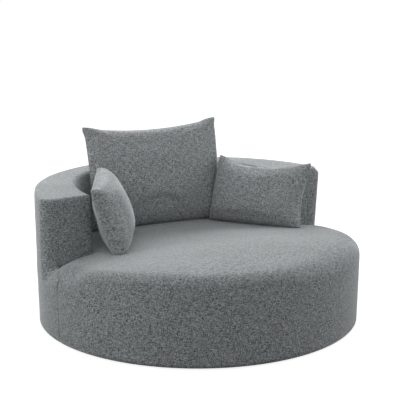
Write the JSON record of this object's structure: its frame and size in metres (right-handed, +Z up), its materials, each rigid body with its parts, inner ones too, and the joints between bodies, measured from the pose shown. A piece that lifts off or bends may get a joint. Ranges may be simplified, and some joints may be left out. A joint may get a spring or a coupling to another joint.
{
  "type": "cuddle chair",
  "caption": "Round upholstered swivel armchair with a drum seat, a low crescent back that wraps round into the arms, and loose cushions.",
  "frame": {"origin": "on the floor, under the centre of the round seat, where the swivel's axis meets it", "axes": "+Z up, -Y the way the sitter faces, +X to the sitter's left, on the right as one faces the chair"},
  "size_m": [1.3104, 1.312, 0.7329],
  "materials": {
    "upholstery_cloth": "heathered woven chenille, matt",
    "foam": "open-cell upholstery foam, matt",
    "wadding": "polyester fibre wadding, matt",
    "frame_timber": "sawn plywood and timber, unfinished",
    "fibreboard": "hard fibreboard, smooth",
    "steel": "zinc-plated steel",
    "black_lining": "non-woven lining, matt",
    "glide_plastic": "moulded plastic, matt",
    "zip_plastic": "nylon coil zip"
  },
  "bodies": {
    "floor_base": {"base_board": "frame_timber", "floor_glide_1": "glide_plastic", "floor_glide_2": "glide_plastic", "floor_glide_3": "glide_plastic", "floor_glide_4": "glide_plastic", "floor_glide_5": "glide_plastic", "floor_glide_6": "glide_plastic", "turntable_lower_plate": "steel", "turntable_lower_screw_1": "steel", "turntable_lower_screw_2": "steel", "turntable_lower_screw_3": "steel", "turntable_lower_screw_4": "steel", "turntable_ball_race": "steel"},
    "chair_body": {"turntable_upper_plate": "steel", "turntable_upper_screw_1": "steel", "turntable_upper_screw_2": "steel", "turntable_upper_screw_3": "steel", "turntable_upper_screw_4": "steel", "bottom_board": "frame_timber", "drum_post_1": "frame_timber", "drum_post_2": "frame_timber", "drum_post_3": "frame_timber", "drum_post_4": "frame_timber", "drum_post_5": "frame_timber", "drum_post_6": "frame_timber", "drum_post_7": "frame_timber", "drum_post_8": "frame_timber", "seat_ring": "frame_timber", "seat_spring_1": "steel", "seat_spring_2": "steel", "seat_spring_3": "steel", "seat_spring_4": "steel", "spring_pad": "black_lining", "seat_foam": "foam", "seat_cover": "upholstery_cloth", "side_padding": "wadding", "side_panel": "fibreboard", "dust_cover": "black_lining", "back_top_rail": "frame_timber", "back_rib_1": "frame_timber", "back_rib_2": "frame_timber", "back_rib_3": "frame_timber", "back_rib_4": "frame_timber", "back_rib_5": "frame_timber", "back_rib_6": "frame_timber", "back_rib_7": "frame_timber", "back_inner_panel": "fibreboard", "back_outer_panel": "fibreboard", "back_foam": "foam", "back_cover": "upholstery_cloth"},
    "back_cushion": {"back_cushion_cover": "upholstery_cloth", "back_cushion_filling": "wadding", "back_cushion_zip": "zip_plastic"},
    "left_pillow": {"left_pillow_cover": "upholstery_cloth", "left_pillow_filling": "wadding", "left_pillow_zip": "zip_plastic"},
    "right_pillow": {"right_pillow_cover": "upholstery_cloth", "right_pillow_filling": "wadding", "right_pillow_zip": "zip_plastic"}
  },
  "joints": [
    {"name": "swivel", "type": "hinge", "parent": "floor_base", "child": "chair_body", "pos_m": [0, 0, 0.0273], "axis": [0, 0, 1], "continuous": true},
    {"name": "back_cushion_lift", "type": "slide", "parent": "chair_body", "child": "back_cushion", "axis": [0.0289, 0.2059, 0.9781], "range_m": [0, 0.5]},
    {"name": "left_pillow_lift", "type": "slide", "parent": "chair_body", "child": "left_pillow", "axis": [0, 0, 1], "range_m": [0, 0.5]},
    {"name": "right_pillow_lift", "type": "slide", "parent": "chair_body", "child": "right_pillow", "axis": [0, 0, 1], "range_m": [0, 0.5]}
  ]
}
